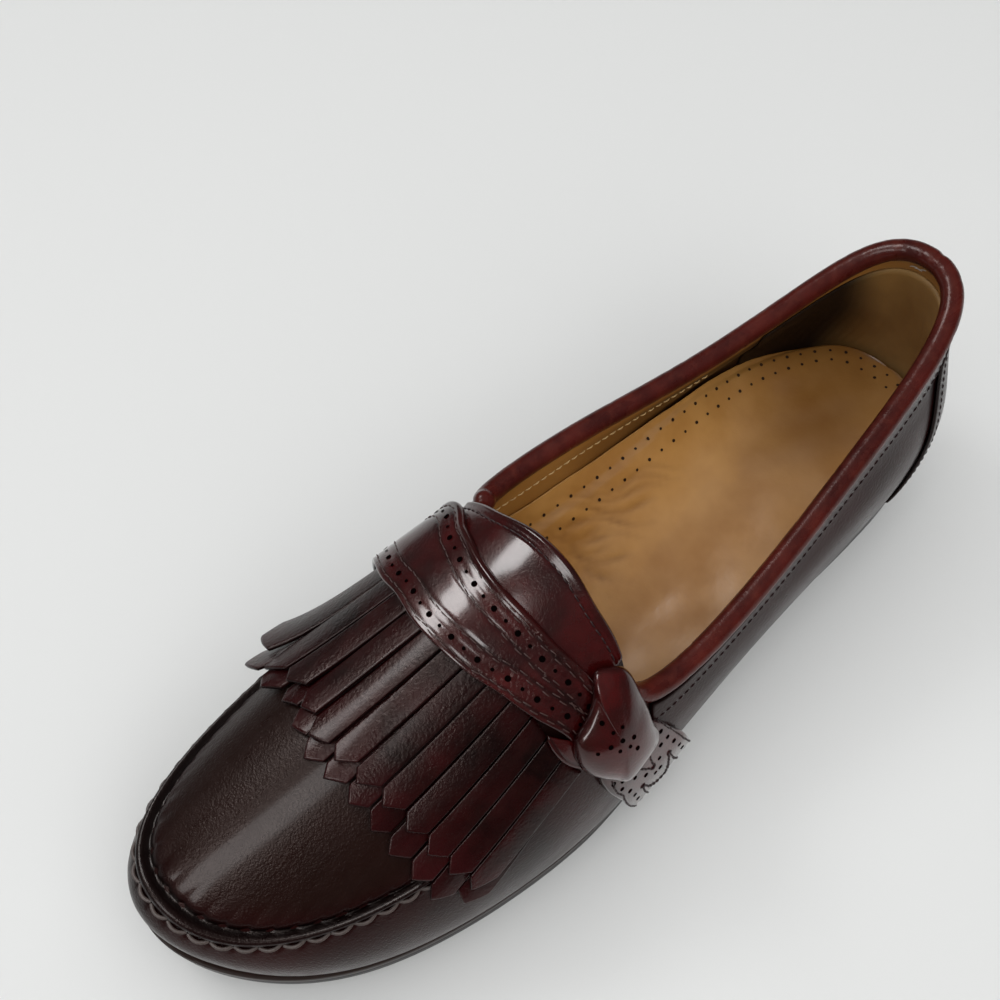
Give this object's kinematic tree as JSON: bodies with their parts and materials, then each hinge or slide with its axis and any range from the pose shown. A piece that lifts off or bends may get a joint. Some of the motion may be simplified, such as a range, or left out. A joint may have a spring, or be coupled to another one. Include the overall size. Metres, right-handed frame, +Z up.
{
  "type": "kiltie loafer",
  "caption": "Left leather loafer with a raised apron seam, a layered fringe and a knotted, punched cross strap over the instep, on a thin sole with a low heel.",
  "frame": {"origin": "centre of the bounding box on the floor", "axes": "+X from the heel to the toe, +Y to the wearer's left, which is the outer side of this left shoe, +Z up"},
  "size_m": [0.3056, 0.102, 0.098],
  "materials": {
    "oxblood_leather": "polished, medium gloss",
    "strap_leather": "polished, medium gloss",
    "fringe_leather": "satin with raw edges",
    "binding_leather": "satin",
    "tan_leather": "worn satin",
    "midsole_edge": "edge dressing",
    "sole_edge_black": "edge dressing",
    "rubber_black": "matte"
  },
  "bodies": {
    "root": {"upper": "oxblood_leather", "collar_band": "oxblood_leather", "backstay": "oxblood_leather", "tongue": "oxblood_leather", "strap": "strap_leather", "strap_tab": "strap_leather", "strap_knot": "strap_leather", "kiltie_under": "fringe_leather", "kiltie_top": "fringe_leather", "collar_binding": "binding_leather", "insole": "tan_leather", "midsole": "midsole_edge", "outsole": "sole_edge_black", "heel_stack": "sole_edge_black", "heel_top_piece": "rubber_black"}
  },
  "joints": []
}
